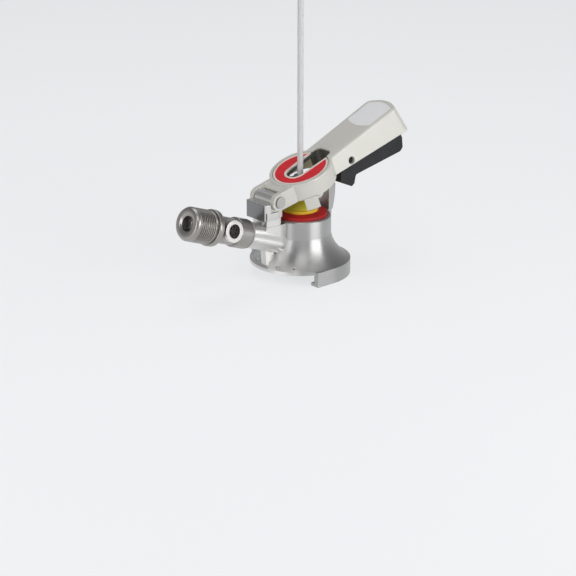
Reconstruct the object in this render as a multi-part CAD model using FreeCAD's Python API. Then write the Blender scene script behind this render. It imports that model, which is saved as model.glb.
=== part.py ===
import FreeCAD, Part
import math
import os

from FreeCAD import Vector

# Keg coupler of the flat, slide-on kind, with its handle raised.
# +Z is the body's axis, +X the way the arm points, -X the side of the hinge and gas inlet.
# The origin is on the body's axis at the skirt's bottom. Sizes are in millimetres.

# Clearances
running_fit = 0.08
seat_gap = 0.05
side_gap = 0.4

# Skirt and flange that slide onto the keg
skirt_height = 9.5
skirt_wall = 4.6
skirt_leg = 16.6
lip_width = 3.5
lip_height = 2.5
flange_r = 40.0
flange_thickness = 3.3
drain_r = 1.1
drain_inset = 3.4
drain_angles = (139.0, 161.0, 199.0, 221.0)

# Flare, neck and bores, as heights over the flange's bottom
flare_mid_r = 29.9
flare_mid_rise = 10.8
flare_rise = 23.5
neck_r = 24.5
body_height = 38.0
chamber_r = 16.0
chamber_height = 17.0
bore_r = 14.3
seal_r = 19.6
seal_inner_r = 12.9
seal_depth = 5.0
seal_proud = 1.2
wiper_r = 21.4
wiper_rim = 2.2
wiper_height = 4.0

# Gas branch, with distances along its axis
gas_rise = 12.6
gas_angle = 20.15
gas_boss_r = 10.3
gas_boss_end = 60.0
gas_bore_r = 4.0
gas_bore_start = 34.0
gas_port_r = 3.0
washer_r = 11.2
washer_thickness = 1.5
shoulder_r = 11.7
shoulder_length = 12.5
adaptor_r = 10.5
adaptor_length = 20.0
collar_r = 14.2
collar_length = 5.0
thread_r = 13.22
thread_length = 20.0
nose_length = 2.0
check_bore_r = 6.0
spigot_tail_r = 8.0
check_depth = 30.0
check_seat_depth = 9.0
check_seat_length = 3.0
check_seat_bore_r = 3.4
poppet_r = 4.9
poppet_stem_r = 2.3
poppet_length = 2.4
relief_at = 85.0
relief_turn = 9.0
relief_boss_r = 8.6
relief_reach = 15.0
relief_bore_r = 5.5
relief_bore_depth = 8.5
relief_port_r = 2.6
relief_cap_length = 1.8
relief_cap_inset = 1.2
relief_poppet_r = 4.0
relief_poppet_length = 1.6

# Hinge and its bracket on the body
hinge_x = -33.0
hinge_rise = 57.0
knuckle_r = 6.0
knuckle_half = 9.6
bracket_half = 12.0
bracket_back = 13.2
bracket_gap = 7.2
bracket_foot_rise = 43.4
bracket_top_rise = 56.2
shoulder_front = 1.4
shoulder_rise = 48.8
pedestal_half = 8.0
pedestal_back = 8.5
pedestal_rib_half = 4.0
pedestal_rib_back = 10.0
slit_width = 1.2
web_half = 9.0
hinge_pin_r = 3.0
hinge_head_r = 4.3
hinge_head = 1.2
hinge_bush_r = 4.3
clip_thickness = 0.8
clip_r = 5.0

# Latch post that the trigger's hook runs along
post_r = 64.0
post_half = 7.0
post_thickness = 6.8
post_top_rise = 61.0
post_foot_rise = 30.0
post_notch_r = 1.5
post_notch_angles = (2.4, -18.6)

# Probe, its guide bell and check valve, as heights over the flange's bottom
probe_tip = 3.0
probe_r = 8.9
probe_step = 28.0
probe_upper_r = 6.2
probe_top = 58.0
beer_bore_r = 3.2
valve_chamber_r = 6.6
valve_chamber = 14.0
tip_seal_r = 9.7
tip_seal_length = 4.0
piston_bottom = 29.0
piston_top = 43.5
bell_waist_r = 9.0
bell_waist = 56.0
crosshead_half_x = 6.0
crosshead_half_y = 12.5
crosshead_top = 65.5
cam_groove_height = 5.6
piston_ring_gap = 0.06
piston_ring_rise = 3.0
piston_ring_section = 1.1
ball_r = 4.6
ball_seat_length = 3.2
ball_travel = 3.0
collet_r = 5.2
collet_height = 4.5
outlet_r = 4.3
outlet_depth = 6.0

# Beer line and the connector on its far end
line_r = 2.38
line_bore_r = 1.6
port_gap = 0.15
line_end = 224.0
connector_r = 7.4
connector_length = 34.0
connector_cover = 9.0

# Handle, in its own frame: its plate's centre is the origin and its top is level there
handle_tilt = 21.0
plate_rise = 75.5
head_r = 25.3
collar_depth = 14.6
head_wall = 3.5
head_roof = 4.4
plate_r = 22.2
plate_border = 1.5
plate_gap = 0.7
plate_thickness = 1.2
tab_r = 26.3
tab_start = 111.0
tab_end = 135.0
tab_drop = 24.0
tab_swing_room = 2.2
slot_back = 12.3
slot_front = 28.0
slot_back_half = 7.0
slot_front_half = 9.0
flank_inner = 10.0
flank_outer = 14.0
eye_r = 6.8
cam_pin_r = 2.5
cam_pin_x = -5.376
cam_pin_drop = 14.0
cam_boss_r = 4.4
cam_boss_inner = 14.2
arm_root = 18.0
arm_tilt = 2.0
arm_end = 100.0
arm_corner = 94.4
arm_corner_round = 5.5
arm_end_flat = 5.0
arm_end_round = 16.0
arm_half = 15.0
arm_half_end = 16.2
arm_side_lean = 3.6
arm_root_depth = 14.0
arm_end_depth = 23.6
arm_wall = 2.5
arm_edge_round = 1.8
label_start = 63.5
label_start_bow = 4.0
label_end = 96.4
label_end_bow = 4.3
label_half = 12.8
label_depth = 0.6
latch_wall = 2.2

# Trigger lever under the arm
trigger_pin_x = 37.0
trigger_pin_drop = 11.85
trigger_pin_r = 3.0
trigger_pin_half = 14.9
trigger_half = 12.9
trigger_floor = 2.6
trigger_spring_r = 4.6
trigger_spring_half = 3.4
trigger_spring_room = 8.6

base = skirt_height
neck_top = base + body_height
gas_origin = Vector(0, 0, base + gas_rise)
adaptor_start = gas_boss_end + washer_thickness
collar_start = adaptor_start + shoulder_length + adaptor_length
adaptor_end = collar_start + collar_length + thread_length + nose_length
hinge_z = base + hinge_rise
post_inner_x = hinge_x + post_r - post_thickness
tilt = math.radians(handle_tilt)


def rise(height):
    """Height in the row frame of a height over the flange's bottom."""
    return base + height


def to_handle(x, z):
    """A point of the XZ plane, as the raised handle's own x and drop."""
    across = x
    up = z - rise(plate_rise)
    return (across * math.cos(tilt) + up * math.sin(tilt),
            up * math.cos(tilt) - across * math.sin(tilt))


handle_hinge_x, handle_hinge_z = to_handle(hinge_x, hinge_z)


def tube(outer, inner, z0, z1):
    """Upright tube, or a plain cylinder where the inner radius is 0."""
    body = Part.makeCylinder(outer, z1 - z0, Vector(0, 0, z0))
    if inner > 0:
        body = body.cut(Part.makeCylinder(inner, z1 - z0, Vector(0, 0, z0)))
    return body


def rod(radius, start, stop):
    """Cylinder between two points."""
    along = stop - start
    return Part.makeCylinder(radius, along.Length, start, along)


def cross_rod(radius, x, z, y0, y1):
    """Cylinder parallel to Y."""
    return rod(radius, Vector(x, y0, z), Vector(x, y1, z))


def block(x0, x1, y0, y1, z0, z1):
    return Part.makeBox(x1 - x0, y1 - y0, z1 - z0, Vector(x0, y0, z0))


def fuse(shapes):
    whole = shapes[0]
    for shape in shapes[1:]:
        whole = whole.fuse(shape)
    return whole.removeSplitter()


def mirrored(shape):
    """The shape and its mirror image across the XZ plane."""
    return [shape, shape.mirror(Vector(0, 0, 0), Vector(0, 1, 0))]


def rounded_wire(corners, place):
    """Closed outline through corners (a, b, radius), with each corner rounded."""
    count = len(corners)
    starts = []
    middles = []
    stops = []
    for i in range(count):
        a, b, radius = corners[i]
        here = Vector(a, b, 0)
        back = Vector(corners[i - 1][0], corners[i - 1][1], 0) - here
        ahead = Vector(corners[(i + 1) % count][0], corners[(i + 1) % count][1], 0) - here
        back.normalize()
        ahead.normalize()
        half = back.getAngle(ahead) / 2
        reach = radius / math.tan(half)
        bisector = back + ahead
        if radius > 0:
            bisector.normalize()
        starts.append(here + back * reach)
        middles.append(here + bisector * (radius / math.sin(half) - radius))
        stops.append(here + ahead * reach)
    edges = []
    for i in range(count):
        if corners[i][2] > 0:
            points = [place(p.x, p.y) for p in (starts[i], middles[i], stops[i])]
            edges.append(Part.Arc(*points).toShape())
        here = place(stops[i].x, stops[i].y)
        following = starts[(i + 1) % count]
        there = place(following.x, following.y)
        if (there - here).Length > 1e-6:
            edges.append(Part.LineSegment(here, there).toShape())
    return Part.Wire(edges)


def side_prism(corners, y0, y1):
    """Outline in the XZ plane, drawn out along Y."""
    wire = rounded_wire(corners, lambda a, b: Vector(a, y0, b))
    return Part.Face(wire).extrude(Vector(0, y1 - y0, 0))


def plan_prism(corners, z0, z1):
    """Outline in the XY plane, drawn out along Z."""
    wire = rounded_wire(corners, lambda a, b: Vector(a, b, z0))
    return Part.Face(wire).extrude(Vector(0, 0, z1 - z0))


def turned(corners):
    """Solid of revolution about Z from corners (r, z, radius)."""
    wire = rounded_wire(corners, lambda a, b: Vector(a, 0, b))
    return Part.Face(wire).revolve(Vector(0, 0, 0), Vector(0, 0, 1), 360)


def along_gas(shape):
    """Move a shape made along +Z from the origin onto the gas branch's axis."""
    moved = shape.copy()
    moved.rotate(Vector(0, 0, 0), Vector(0, 1, 0), gas_angle - 90)
    moved.translate(gas_origin)
    return moved


def gas_point(along):
    slope = math.radians(gas_angle)
    return gas_origin + Vector(-math.cos(slope), 0, math.sin(slope)) * along


def raised(shape):
    """Move a shape made in the handle's own frame to the raised handle."""
    moved = shape.copy()
    moved.rotate(Vector(0, 0, 0), Vector(0, 1, 0), -handle_tilt)
    moved.translate(Vector(0, 0, rise(plate_rise)))
    return moved


def coil(radius, wire_r, turns, length):
    """Open coil spring along +Z, its wire's middle running from z 0 to the length."""
    helix = Part.makeHelix(length / turns, length, radius)
    section = Part.Wire(Part.Circle(Vector(radius, 0, 0), Vector(0, 1, 0), wire_r).toShape())
    return Part.Wire(helix).makePipeShell([section], True, True)


def flange_and_neck():
    """Flange disc, trumpet flare and neck, turned in one."""
    lower = Vector(flange_r - 1.5, 0, rise(flange_thickness))
    middle = Vector(flare_mid_r, 0, rise(flare_mid_rise))
    upper = Vector(neck_r, 0, rise(flare_rise))
    axis_bottom = Vector(0, 0, base)
    rim_bottom = Vector(flange_r, 0, base)
    rim_top = Vector(flange_r, 0, rise(flange_thickness) - 0.8)
    mouth = Vector(neck_r, 0, neck_top - 0.8)
    mouth_top = Vector(neck_r - 0.8, 0, neck_top)
    axis_top = Vector(0, 0, neck_top)
    edges = [
        Part.LineSegment(axis_bottom, rim_bottom).toShape(),
        Part.LineSegment(rim_bottom, rim_top).toShape(),
        Part.LineSegment(rim_top, lower).toShape(),
        Part.Arc(lower, middle, upper).toShape(),
        Part.LineSegment(upper, mouth).toShape(),
        Part.LineSegment(mouth, mouth_top).toShape(),
        Part.LineSegment(mouth_top, axis_top).toShape(),
        Part.LineSegment(axis_top, axis_bottom).toShape(),
    ]
    return Part.Face(Part.Wire(edges)).revolve(Vector(0, 0, 0), Vector(0, 0, 1), 360)


def u_outline(radius, back, z0, z1):
    """Half round towards +X with straight legs back to -X."""
    rounded = Part.makeCylinder(radius, z1 - z0, Vector(0, 0, z0))
    rounded = rounded.common(block(0, radius, -radius, radius, z0, z1))
    legs = block(-back, 0, -radius, radius, z0, z1)
    return rounded.fuse(legs)


def slide_skirt():
    """U skirt that hooks under the keg fitting's flange, open towards -X."""
    outer = u_outline(flange_r, skirt_leg, 0, base)
    groove = u_outline(flange_r - skirt_wall, 3 * flange_r, lip_height, base + 1)
    throat = u_outline(flange_r - skirt_wall - lip_width, 3 * flange_r, -1, lip_height)
    return outer.cut(groove).cut(throat)


def hinge_bracket():
    """Block on the pedestal with a knuckle for the handle's hinge and a shoulder on each side."""
    foot = rise(bracket_foot_rise)
    back = hinge_x - bracket_back
    gap_x = hinge_x - bracket_gap
    front = hinge_x + knuckle_r
    rear = plan_prism([
        (back, -bracket_half, 2.5), (gap_x, -bracket_half, 0), (gap_x, bracket_half, 0),
        (back, bracket_half, 2.5)], foot, rise(bracket_top_rise))
    stem = block(gap_x, front, -knuckle_half, knuckle_half, foot, hinge_z)
    knuckle = cross_rod(knuckle_r, hinge_x, hinge_z, -knuckle_half, knuckle_half)
    shoulders = plan_prism([
        (back + 3, -bracket_half, 0), (hinge_x + shoulder_front, -bracket_half, 1.0),
        (hinge_x + shoulder_front, bracket_half, 1.0), (back + 3, bracket_half, 0)], foot, rise(shoulder_rise))
    bracket = fuse([rear, stem, knuckle, shoulders])
    slit_x = back + 0.8
    for slit in mirrored(block(slit_x, slit_x + slit_width, bracket_half - 2.4, bracket_half + 1,
                               foot - 1, rise(shoulder_rise) + 1.2)):
        bracket = bracket.cut(slit)
    return bracket.cut(cross_rod(hinge_pin_r + seat_gap, hinge_x, hinge_z, -knuckle_half - 1, knuckle_half + 1))


def pedestal():
    """Narrow foot with a rib behind it, between the web and the bracket."""
    top = rise(bracket_foot_rise)
    low = neck_top - 4
    foot = block(hinge_x - pedestal_back, hinge_x + knuckle_r, -pedestal_half, pedestal_half, low, top)
    rib = block(hinge_x - pedestal_rib_back, hinge_x, -pedestal_rib_half, pedestal_rib_half, low, top)
    return foot.fuse(rib)


def neck_web():
    """Thick web between the neck, the pedestal and the gas branch."""
    top = neck_top - 1.2
    back = hinge_x - pedestal_rib_back
    return side_prism([
        (-neck_r + 4, rise(10), 0), (-neck_r + 4, top, 0), (back, top, 1.5), (back, rise(27), 0)],
        -web_half, web_half)


def branch_rib():
    """Upright rib from the flange's edge to the underside of the gas branch."""
    underside = gas_point(gas_boss_end * 0.66)
    return side_prism([
        (-flange_r + 2.6, base + 1, 0), (-flange_r + 10.2, base + 1, 0),
        (-flange_r + 10.6, underside.z, 0), (-flange_r + 0.5, underside.z, 0)], -3.0, 3.0)


def latch_post():
    """Post at the arm's side, its outer face an arc about the hinge."""
    foot = rise(post_foot_rise)
    top = rise(post_top_rise)
    slab = side_prism([
        (post_inner_x - 4, foot, 0), (post_r, foot, 0), (post_r, top, 0),
        (post_inner_x, top, 1.0), (post_inner_x, neck_top - 0.2, 0), (post_inner_x - 4, neck_top - 0.2, 0)],
        -post_half, post_half)
    limit = cross_rod(post_r, hinge_x, hinge_z, -post_half, post_half)
    post = slab.common(limit)
    for angle in post_notch_angles:
        turn = math.radians(angle)
        reach = post_r + 0.7
        notch = cross_rod(post_notch_r, hinge_x + reach * math.cos(turn), hinge_z + reach * math.sin(turn),
                          -post_half, post_half)
        post = post.cut(notch)
    return post


def body_bores():
    """Everything that is bored out of the body."""
    drains = []
    drain_circle_r = flange_r - drain_inset
    for angle in drain_angles:
        turn = math.radians(angle)
        centre = Vector(drain_circle_r * math.cos(turn), drain_circle_r * math.sin(turn), base - 1)
        drains.append(Part.makeCylinder(drain_r, flange_thickness + 4, centre))
    port = rod(gas_port_r, gas_point(gas_bore_start + 4), Vector(-chamber_r + 5, 0, rise(chamber_height - 5)))
    return [
        tube(seal_r, 0, base - 1, rise(seal_depth)),
        tube(chamber_r, 0, base - 1, rise(chamber_height)),
        tube(bore_r, 0, base, neck_top + 1),
        along_gas(tube(gas_bore_r, 0, gas_bore_start, gas_boss_end + 1)),
        port,
    ] + drains


def coupler_body():
    branch = along_gas(tube(gas_boss_r, 0, 6, gas_boss_end))
    shelf = u_outline(flange_r, skirt_leg, base, rise(flange_thickness) - 0.8)
    body = fuse([flange_and_neck(), shelf, branch, neck_web(), pedestal(), branch_rib(), latch_post()])
    for bore in body_bores():
        body = body.cut(bore)
    return body


def body_seal():
    """Rubber seal pressed into the body's mouth, standing a little proud of it."""
    lowest = base - seal_proud
    return turned([
        (seal_inner_r, lowest + 1.4, 0), (seal_inner_r + 1.4, lowest, 0), (seal_r - seat_gap, lowest, 0.8),
        (seal_r - seat_gap, rise(seal_depth) - seat_gap, 0), (seal_inner_r, rise(seal_depth) - seat_gap, 0)])


def red_wiper_ring():
    """Coloured ring on the neck that wipes the guide bell."""
    top = neck_top + wiper_height
    return turned([
        (bore_r + 0.02, neck_top, 0), (wiper_r, neck_top, 0), (wiper_r, neck_top + wiper_rim, 0.5),
        (bore_r + 1.8, top, 0.6), (bore_r + 0.02, top - 0.6, 0)])


def gas_washer():
    return along_gas(tube(washer_r, gas_bore_r + 0.5, gas_boss_end, adaptor_start))


def relief_place(shape):
    """Move a shape made along -Y from the origin onto the relief boss, which leans upwards."""
    moved = shape.copy()
    moved.rotate(Vector(0, 0, 0), Vector(0, 0, 1), relief_turn)
    moved.translate(Vector(0, 0, relief_at))
    return along_gas(moved)


def gas_adaptor():
    """Turned fitting screwed to the branch, with the relief valve's boss on its side."""
    joint = adaptor_start + shoulder_length
    barrel = turned([
        (0, adaptor_start, 0), (shoulder_r, adaptor_start, 0.8), (shoulder_r, joint, 0.8),
        (adaptor_r, joint, 0), (adaptor_r, collar_start, 0), (0, collar_start, 0)])
    boss = relief_place(rod(relief_boss_r, Vector(0, 0, 0), Vector(0, -relief_reach, 0)))
    adaptor = fuse([along_gas(barrel), boss])
    tail_start = adaptor_end - check_depth
    bores = [
        along_gas(tube(gas_bore_r, 0, adaptor_start - 1, collar_start)),
        along_gas(tube(spigot_tail_r + seat_gap, 0, tail_start, collar_start + 1)),
        relief_place(rod(relief_port_r, Vector(0, 0, 0), Vector(0, -relief_reach, 0))),
        relief_place(rod(relief_bore_r, Vector(0, relief_bore_depth - relief_reach, 0),
                         Vector(0, -relief_reach - 1, 0))),
    ]
    for bore in bores:
        adaptor = adaptor.cut(bore)
    return adaptor


def gas_spigot():
    """Collar and threaded end for the gas hose's nut, with the check valve's chamber."""
    thread_start = collar_start + collar_length
    thread_stop = adaptor_end - nose_length
    tail_start = adaptor_end - check_depth + seat_gap
    spigot = turned([
        (0, tail_start, 0), (spigot_tail_r, tail_start, 0), (spigot_tail_r, collar_start, 0),
        (collar_r, collar_start, 1.0), (collar_r, thread_start, 1.0), (thread_r - 1.2, thread_start, 0),
        (thread_r - 1.2, thread_start + 1.5, 0), (thread_r, thread_start + 2.5, 0),
        (thread_r, thread_stop - 1.2, 0), (thread_r - 1.6, thread_stop, 0),
        (thread_r - 1.6, adaptor_end, 0.4), (0, adaptor_end, 0)])
    return along_gas(spigot.cut(tube(check_bore_r, 0, tail_start - 1, adaptor_end + 1)))


def gas_check_seat():
    """Ring in the adaptor's mouth that the check poppet closes against."""
    top = adaptor_end - check_seat_depth
    return along_gas(turned([
        (check_seat_bore_r, top - check_seat_length, 0), (check_bore_r - seat_gap, top - check_seat_length, 0),
        (check_bore_r - seat_gap, top, 0), (check_seat_bore_r + 1.2, top, 0), (check_seat_bore_r, top - 1.2, 0)]))


def gas_check_poppet():
    """Disc behind the seat, with a stem that shows in the mouth."""
    top = adaptor_end - check_seat_depth - check_seat_length - 0.02
    disc = tube(poppet_r, 0, top - poppet_length, top)
    stem = tube(poppet_stem_r, 0, top, top + check_seat_length + 1.5)
    guide = tube(poppet_stem_r, 0, top - poppet_length - 4, top - poppet_length)
    return along_gas(fuse([disc, stem, guide]))


def gas_check_spring():
    wire_r = 0.6
    start = adaptor_end - check_depth + wire_r + 0.1
    stop = adaptor_end - check_seat_depth - check_seat_length - poppet_length - wire_r - 0.1
    spring = coil(poppet_r - 0.4, wire_r, 3, stop - start)
    spring.translate(Vector(0, 0, start))
    return along_gas(spring)


def relief_parts():
    """Cap, poppet and spring of the relief valve on the adaptor's side."""
    cap_outer = relief_cap_inset - relief_reach
    cap_inner = cap_outer + relief_cap_length
    cap = rod(relief_bore_r - seat_gap, Vector(0, cap_inner, 0), Vector(0, cap_outer, 0))
    for i in range(6):
        turn = math.radians(60 * i)
        x = 3.2 * math.cos(turn)
        z = 3.2 * math.sin(turn)
        cap = cap.cut(rod(0.7, Vector(x, cap_inner + 1, z), Vector(x, cap_outer - 1, z)))
    seat = relief_bore_depth - relief_reach - 0.05
    poppet = rod(relief_poppet_r, Vector(0, seat, 0), Vector(0, seat - relief_poppet_length, 0))
    wire_r = 0.35
    start = seat - relief_poppet_length - wire_r - 0.05
    length = start - cap_inner - wire_r - 0.05
    spring = coil(relief_poppet_r - 0.7, wire_r, 2, length)
    spring.rotate(Vector(0, 0, 0), Vector(1, 0, 0), 90)
    spring.translate(Vector(0, start, 0))
    return [relief_place(shape) for shape in (cap, poppet, spring)]


def hinge_pin():
    """Shouldered pin through the handle's eyes and the knuckle."""
    half = flank_outer + 0.3
    shaft = cross_rod(hinge_pin_r, hinge_x, hinge_z, -half, half + 2.6)
    head = cross_rod(hinge_head_r, hinge_x, hinge_z, -half - hinge_head, -half)
    groove = cross_rod(hinge_pin_r + 1, hinge_x, hinge_z, half + 0.3, half + 0.3 + clip_thickness + 0.1)
    core = cross_rod(hinge_pin_r - 0.6, hinge_x, hinge_z, half, half + 2)
    return fuse([shaft.cut(groove), core, head])


def hinge_clip():
    """Spring clip in the pin's groove."""
    near = flank_outer + 0.65
    clip = cross_rod(clip_r, hinge_x, hinge_z, near, near + clip_thickness)
    clip = clip.cut(cross_rod(hinge_pin_r - 0.6 + 0.02, hinge_x, hinge_z, near - 1, near + 2))
    mouth = block(hinge_x - 1.9, hinge_x + 1.9, near - 1, near + 2, hinge_z - clip_r - 1, hinge_z)
    return clip.cut(mouth)


def probe_tube():
    """Steel probe that opens the keg's valve and carries the beer."""
    probe = turned([
        (0, rise(probe_tip), 0), (probe_r - 1.6, rise(probe_tip), 0),
        (probe_r - 1.6, rise(probe_tip + tip_seal_length), 0), (probe_r, rise(probe_tip + tip_seal_length), 0),
        (probe_r, rise(probe_step), 1.0), (probe_upper_r, rise(probe_step), 0),
        (probe_upper_r, rise(probe_top), 0.6), (0, rise(probe_top), 0)])
    chamber_top = probe_tip + valve_chamber
    probe = probe.cut(tube(valve_chamber_r, 0, rise(probe_tip) - 1, rise(chamber_top)))
    return probe.cut(tube(beer_bore_r, 0, rise(probe_tip), rise(probe_top) + 1))


def probe_tip_seal():
    """Rubber ring round the probe's tip."""
    inner = probe_r - 1.6 + seat_gap
    return turned([
        (inner, rise(probe_tip), 0), (tip_seal_r, rise(probe_tip), 1.2),
        (tip_seal_r, rise(probe_tip + tip_seal_length) - seat_gap, 0.6),
        (inner, rise(probe_tip + tip_seal_length) - seat_gap, 0)])


def ball_seat():
    """Ring in the probe's tip that the check ball rests on."""
    low = rise(probe_tip) + 0.2
    top = low + ball_seat_length
    outer = valve_chamber_r - seat_gap
    return turned([
        (2.6, low, 0), (outer, low, 0), (outer, top, 0), (4.2, top, 0), (2.6, top - 2.2, 0)])


def ball_height():
    """Centre of the ball where it rests in its seat's cone."""
    return rise(probe_tip) + 0.2 + ball_seat_length + 2.1


def beer_check_ball():
    return Part.makeSphere(ball_r, Vector(0, 0, ball_height()))


def ball_cage():
    """Ring with a cross bar that stops the ball's rise."""
    low = ball_height() + ball_r + ball_travel + 0.2
    top = rise(probe_tip + valve_chamber) - 0.02
    outer = valve_chamber_r - seat_gap
    ring = tube(outer, outer - 1.4, low, top)
    bar = block(-outer + 0.4, outer - 0.4, -0.9, 0.9, low, top)
    return fuse([ring, bar])


def probe_bell():
    """Guide bell: piston in the body's bore, cone, and crosshead with the cam grooves."""
    piston_r = bore_r - running_fit
    bell = turned([
        (probe_upper_r + seat_gap, rise(piston_bottom), 0), (piston_r, rise(piston_bottom), 0.8),
        (piston_r, rise(piston_top), 0.9), (piston_r - 1.8, rise(piston_top) + 0.4, 0.6),
        (bell_waist_r, rise(bell_waist), 1.5), (bell_waist_r, rise(crosshead_top) - 0.4, 0.5),
        (probe_upper_r + seat_gap, rise(crosshead_top) - 0.4, 0)])
    head = plan_prism([
        (-crosshead_half_x, -crosshead_half_y, 1.5), (crosshead_half_x, -crosshead_half_y, 1.5),
        (crosshead_half_x, crosshead_half_y, 1.5), (-crosshead_half_x, crosshead_half_y, 1.5)],
        rise(bell_waist) - 2, rise(crosshead_top))
    head = head.cut(tube(probe_upper_r + seat_gap, 0, base, rise(crosshead_top) + 1))
    bell = fuse([bell, head])
    cam_z = raised_cam_height()
    for groove in mirrored(block(-crosshead_half_x - 1, crosshead_half_x + 1, bell_waist_r + 0.8,
                                 crosshead_half_y + 1, cam_z - cam_groove_height / 2,
                                 cam_z + cam_groove_height / 2)):
        bell = bell.cut(groove)
    ring_z = rise(piston_bottom + piston_ring_rise)
    groove_r = piston_r - 2 * piston_ring_section
    ring_groove = tube(piston_r + 1, groove_r, ring_z - piston_ring_section - 0.1,
                       ring_z + piston_ring_section + 0.1)
    return bell.cut(ring_groove)


def raised_cam_height():
    """Height of the cam pins' axis with the handle raised."""
    return rise(plate_rise) + cam_pin_x * math.sin(tilt) - cam_pin_drop * math.cos(tilt)


def piston_o_ring():
    section = piston_ring_section
    middle = bore_r - piston_ring_gap - section
    return Part.makeTorus(middle, section, Vector(0, 0, rise(piston_bottom + piston_ring_rise)))


def outlet_socket():
    """Socket in the bell's top that the beer line pushes into."""
    low = rise(probe_top)
    outer = probe_upper_r
    socket = turned([
        (line_bore_r, low, 0), (outer, low, 0), (outer, rise(crosshead_top), 0),
        (collet_r, rise(crosshead_top), 0), (collet_r, rise(crosshead_top) + 2.0, 0.4),
        (line_bore_r, rise(crosshead_top) + 2.0, 0)])
    socket = socket.cut(tube(line_r + seat_gap, 0, low + 1.5, rise(crosshead_top) + 3))
    return socket.cut(tube(outlet_r - 0.4, 0, rise(crosshead_top) - 2.5, rise(crosshead_top) + 3))


def outlet_collet():
    """Release ring that grips the beer line."""
    low = rise(crosshead_top) - 2.5 + 0.02
    top = rise(crosshead_top) + collet_height
    sleeve = outlet_r - 0.4 - seat_gap
    rim = rise(crosshead_top) + 2.0 + 0.02
    return turned([
        (line_r + seat_gap, low, 0), (sleeve, low, 0), (sleeve, rim, 0), (collet_r, rim, 0),
        (collet_r, top, 0.8), (line_r + seat_gap, top, 0)])


def beer_line():
    return tube(line_r, line_bore_r, rise(probe_top) + 1.52, rise(line_end))


def line_connector():
    """Push-in union on the line's far end, with its other port free."""
    low = rise(line_end) - connector_cover
    top = low + connector_length
    waist = (low + top) / 2
    body = turned([
        (0, low, 0), (connector_r, low, 0.8), (connector_r, waist - 4, 0.6), (connector_r - 1.2, waist - 3, 0),
        (connector_r - 1.2, waist + 3, 0), (connector_r, waist + 4, 0.6), (connector_r, top, 0.8), (0, top, 0)])
    body = body.cut(tube(line_r + seat_gap, 0, low - 1, rise(line_end) + 0.1))
    body = body.cut(tube(line_bore_r, 0, low, top))
    body = body.cut(tube(line_r + port_gap, 0, waist + 2, top + 1))
    body = body.cut(tube(outlet_r - 0.4, 0, low - 1, low + 2.5))
    return body.cut(tube(outlet_r - 0.4, 0, top - 2.5, top + 1))


def line_collet(end, outwards, gap):
    """Release ring in one end of the connector."""
    sleeve = outlet_r - 0.4 - seat_gap
    corners = [
        (line_r + gap, end - 2.4 * outwards, 0), (sleeve, end - 2.4 * outwards, 0),
        (sleeve, end + 0.1 * outwards, 0), (collet_r, end + 0.1 * outwards, 0),
        (collet_r, end + 1.9 * outwards, 0.5), (line_r + gap, end + 1.9 * outwards, 0)]
    return turned(corners)


def slot_outline(widen):
    """Plan outline of the handle's slot, widened all round."""
    back = -slot_back - widen
    back_half = slot_back_half + widen
    front_half = slot_front_half + widen
    return [
        (back, -back_half, back_half * 0.97), (slot_front + widen, -front_half, front_half * 0.55),
        (slot_front + widen, front_half, front_half * 0.55), (back, back_half, back_half * 0.97)]


def arm_wire(start, inset, depth):
    """Plan outline of the arm at a depth: straight sides and a bowed end."""
    lean = arm_side_lean * depth / arm_end_depth
    root_half = arm_half + lean - inset
    end_half = arm_half_end + lean - inset
    corner = arm_corner + lean - 0.7 * inset
    tip = arm_end + lean - inset
    turn = max(arm_corner_round - inset, 0.8)
    corners = [
        (start, root_half, 0), (corner, end_half, turn), (tip, arm_end_flat, arm_end_round),
        (tip, -arm_end_flat, arm_end_round), (corner, -end_half, turn), (start, -root_half, 0)]
    return rounded_wire(corners, lambda a, b: Vector(a, b, -depth))


def arm_shell():
    """Channel arm, open below, its sides leaning outwards."""
    reach = arm_end_depth + 4
    outer = Part.makeLoft([arm_wire(arm_root, 0, 0), arm_wire(arm_root, 0, reach)], True, True)
    top_edges = []
    for edge in outer.Edges:
        box = edge.BoundBox
        if box.ZMin > -0.01 and box.XMax > arm_root + 1:
            top_edges.append(edge)
    outer = outer.makeFillet(arm_edge_round, top_edges)
    start = slot_front + latch_wall
    inner = Part.makeLoft([arm_wire(start, arm_wall, arm_wall), arm_wire(start, arm_wall, reach + 2)], True, True)
    kept = side_prism([
        (arm_root - 1, 1, 0), (arm_end + 9, 1, 0), (arm_end + 9, -arm_end_depth, 0),
        (arm_root - 1, -arm_root_depth, 0)], -2 * arm_half, 2 * arm_half)
    return tilted_arm(outer.cut(inner).common(kept))


def tilted_arm(shape):
    """Turn a shape of the arm up from the head's plane, about the arm's root."""
    moved = shape.copy()
    moved.rotate(Vector(arm_root, 0, 0), Vector(0, 1, 0), -arm_tilt)
    return moved


def handle_flank():
    """Side plate from the head's collar to one hinge eye."""
    eye_x = handle_hinge_x
    eye_z = handle_hinge_z
    plate = side_prism([
        (eye_x, eye_z + eye_r, 0), (-head_r + 5, -0.6, 2.0), (-head_r + 12, -0.6, 0),
        (-head_r + 12, -collar_depth, 0), (-head_r + 2, -collar_depth, 3.0), (eye_x, eye_z - eye_r, 0)],
        flank_inner, flank_outer)
    eye = cross_rod(eye_r, eye_x, eye_z, flank_inner, flank_outer)
    return plate.fuse(eye)


def handle_web():
    """Sloping roof between the two flanks, short of the knuckle."""
    edge = handle_hinge_x + knuckle_r + 0.8
    return side_prism([
        (-head_r + 4, -0.6, 0), (-head_r + 4, -5.5, 0), (edge + 1.2, -7.2, 0), (edge, -5.0, 1.0),
        (edge + 0.4, -1.6, 1.0)], -flank_outer, flank_outer)


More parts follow.
